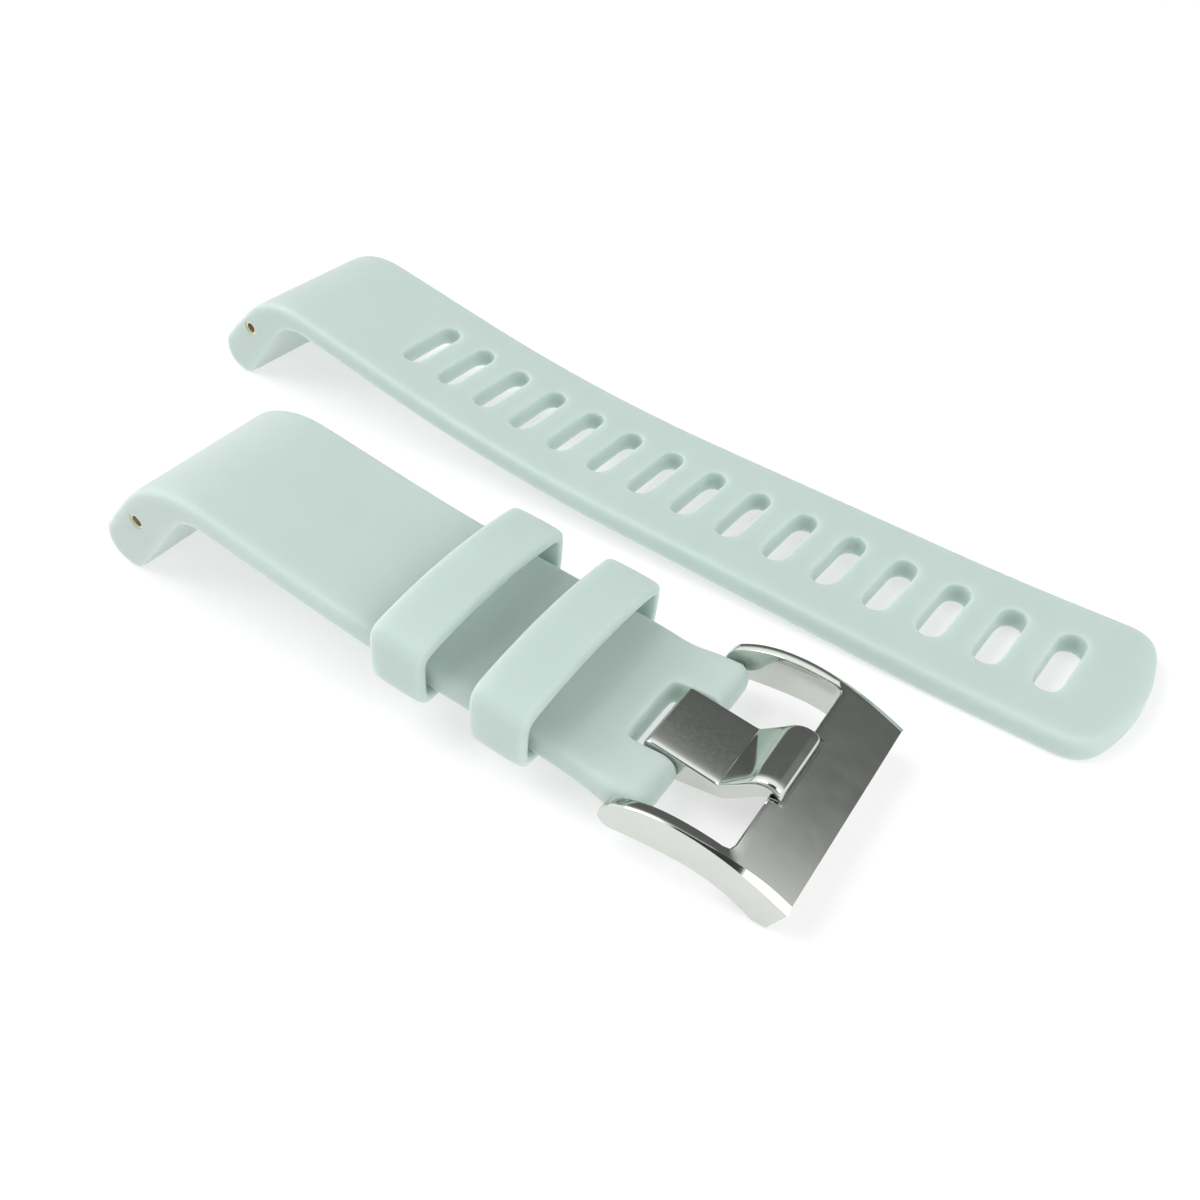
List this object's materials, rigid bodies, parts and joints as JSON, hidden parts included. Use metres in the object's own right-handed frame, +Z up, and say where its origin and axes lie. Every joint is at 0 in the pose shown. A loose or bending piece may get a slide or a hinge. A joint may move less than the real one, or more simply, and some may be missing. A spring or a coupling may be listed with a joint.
{
  "type": "two-piece silicone watch strap with buckle",
  "caption": "Two-piece moulded silicone watch strap: a slotted long half, and a short half with loose keepers and a wide steel buckle on a spring bar.",
  "frame": {"origin": "centre of the footprint of the laid-out pair, on the surface that it lies on", "axes": "+X along the short half from its lug to its buckle, +Y across towards the long half, +Z up off the surface, the worn face of both halves up"},
  "size_m": [0.1678, 0.0769, 0.0193],
  "materials": {
    "silicone": "matte moulded silicone, pale mint grey",
    "buckle_steel": "polished stainless steel, satin on the crossbar",
    "bar_steel": "turned stainless steel",
    "lug_brass": "drawn brass tube"
  },
  "bodies": {
    "short_half": {"short_strap": "silicone", "short_lug_tube": "lug_brass", "spring_bar_tube": "bar_steel", "spring_bar_coil": "bar_steel"},
    "long_half": {"long_strap": "silicone", "long_lug_tube": "lug_brass"},
    "rear_keeper": {"keeper_rear": "silicone"},
    "front_keeper": {"keeper_front": "silicone"},
    "near_tip": {"spring_bar_tip_near": "bar_steel"},
    "far_tip": {"spring_bar_tip_far": "bar_steel"},
    "buckle": {"buckle_frame": "buckle_steel"},
    "tongue": {"buckle_tongue": "buckle_steel"}
  },
  "joints": [
    {"name": "buckle_hinge", "type": "hinge", "parent": "short_half", "child": "buckle", "pos_m": [0.03958, -0.02336, 0.0048], "axis": [0, -1, 0], "range_deg": [-60, 30]},
    {"name": "tongue_hinge", "type": "hinge", "parent": "buckle", "child": "tongue", "pos_m": [0.03958, -0.02336, 0.0048], "axis": [0, -1, 0], "range_deg": [0, 80]},
    {"name": "keeper_rear_slide", "type": "slide", "parent": "short_half", "child": "rear_keeper", "axis": [0.9901, 0, -0.1406], "range_m": [-0.012, 0.002]},
    {"name": "keeper_front_slide", "type": "slide", "parent": "short_half", "child": "front_keeper", "axis": [0.9901, 0, -0.1406], "range_m": [-0.002, 0.002]},
    {"name": "tip_near_press", "type": "slide", "parent": "short_half", "child": "near_tip", "axis": [0, 1, 0], "range_m": [0, 0.001], "stiffness_N_per_m": 500, "springref_m": -0.001, "deforming": ["spring_bar_coil"]},
    {"name": "tip_far_press", "type": "slide", "parent": "short_half", "child": "far_tip", "axis": [0, -1, 0], "range_m": [0, 0.001], "stiffness_N_per_m": 500, "springref_m": -0.001},
    {"name": "long_half_lift", "type": "slide", "parent": "short_half", "child": "long_half", "axis": [0, 0, 1], "range_m": [0, 0.05]}
  ]
}
